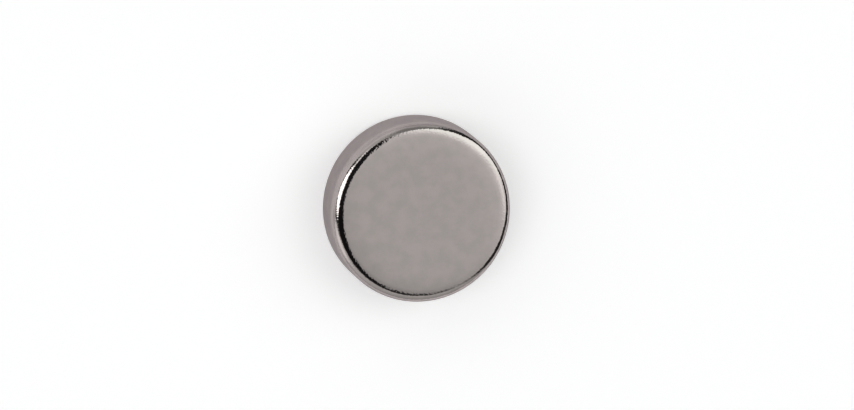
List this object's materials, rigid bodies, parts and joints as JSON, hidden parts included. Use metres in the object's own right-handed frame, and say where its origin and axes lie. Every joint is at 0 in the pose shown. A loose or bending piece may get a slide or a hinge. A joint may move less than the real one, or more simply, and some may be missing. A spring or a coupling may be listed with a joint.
{
  "type": "disc magnet",
  "caption": "Small bare disc magnet with a plated bright finish, flat pole faces, a straight side wall and rounded tumbled edges.",
  "frame": {"origin": "middle of the lower pole face, which the disc lies on", "axes": "+Z along the disc's axis, from the lower pole face to the upper one; the disc is round, so X and Y are free"},
  "size_m": [0.01, 0.01, 0.003],
  "materials": {
    "nickel_plate": "bright nickel plate over a ground face, slightly warm grey, with a fine tumbled grain"
  },
  "bodies": {
    "root": {"disc_magnet": "nickel_plate"}
  },
  "joints": []
}
